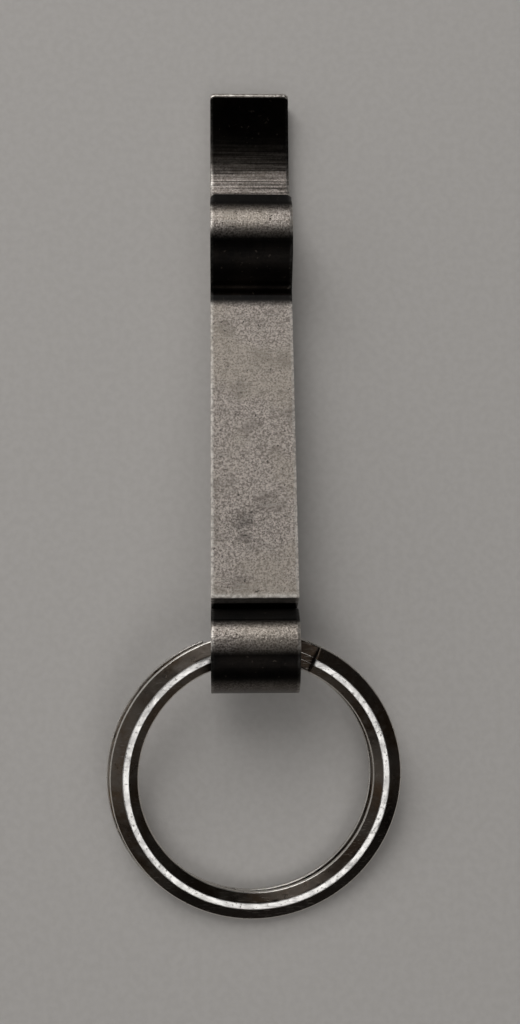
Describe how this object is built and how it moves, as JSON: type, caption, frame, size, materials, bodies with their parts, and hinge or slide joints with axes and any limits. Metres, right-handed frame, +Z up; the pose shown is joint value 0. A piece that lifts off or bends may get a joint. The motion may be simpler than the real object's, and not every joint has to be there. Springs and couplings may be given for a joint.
{
  "type": "keychain bottle opener",
  "caption": "Slim metal bottle opener cut from an extruded profile, with a hooked tooth, a flat handle and a round eye that holds a bevelled split ring.",
  "frame": {"origin": "on the surface it rests on, under the middle of the overall length and width", "axes": "+X across the opener, +Y toward the tip of the jaw's arm, +Z up out of the handle face's side"},
  "size_m": [0.0308, 0.0922, 0.013],
  "materials": {
    "body": "tumbled matte with dark warm patina in the hollows",
    "ring": "worn nickel plate on spring steel"
  },
  "bodies": {
    "opener": {"opener_body": "body"},
    "ring": {"split_ring": "ring"}
  },
  "joints": [
    {"name": "ring_swing", "type": "hinge", "parent": "opener", "child": "ring", "pos_m": [0, -0.01858, 0.00867], "axis": [1, 0, 0], "range_deg": [-190, 138]}
  ]
}
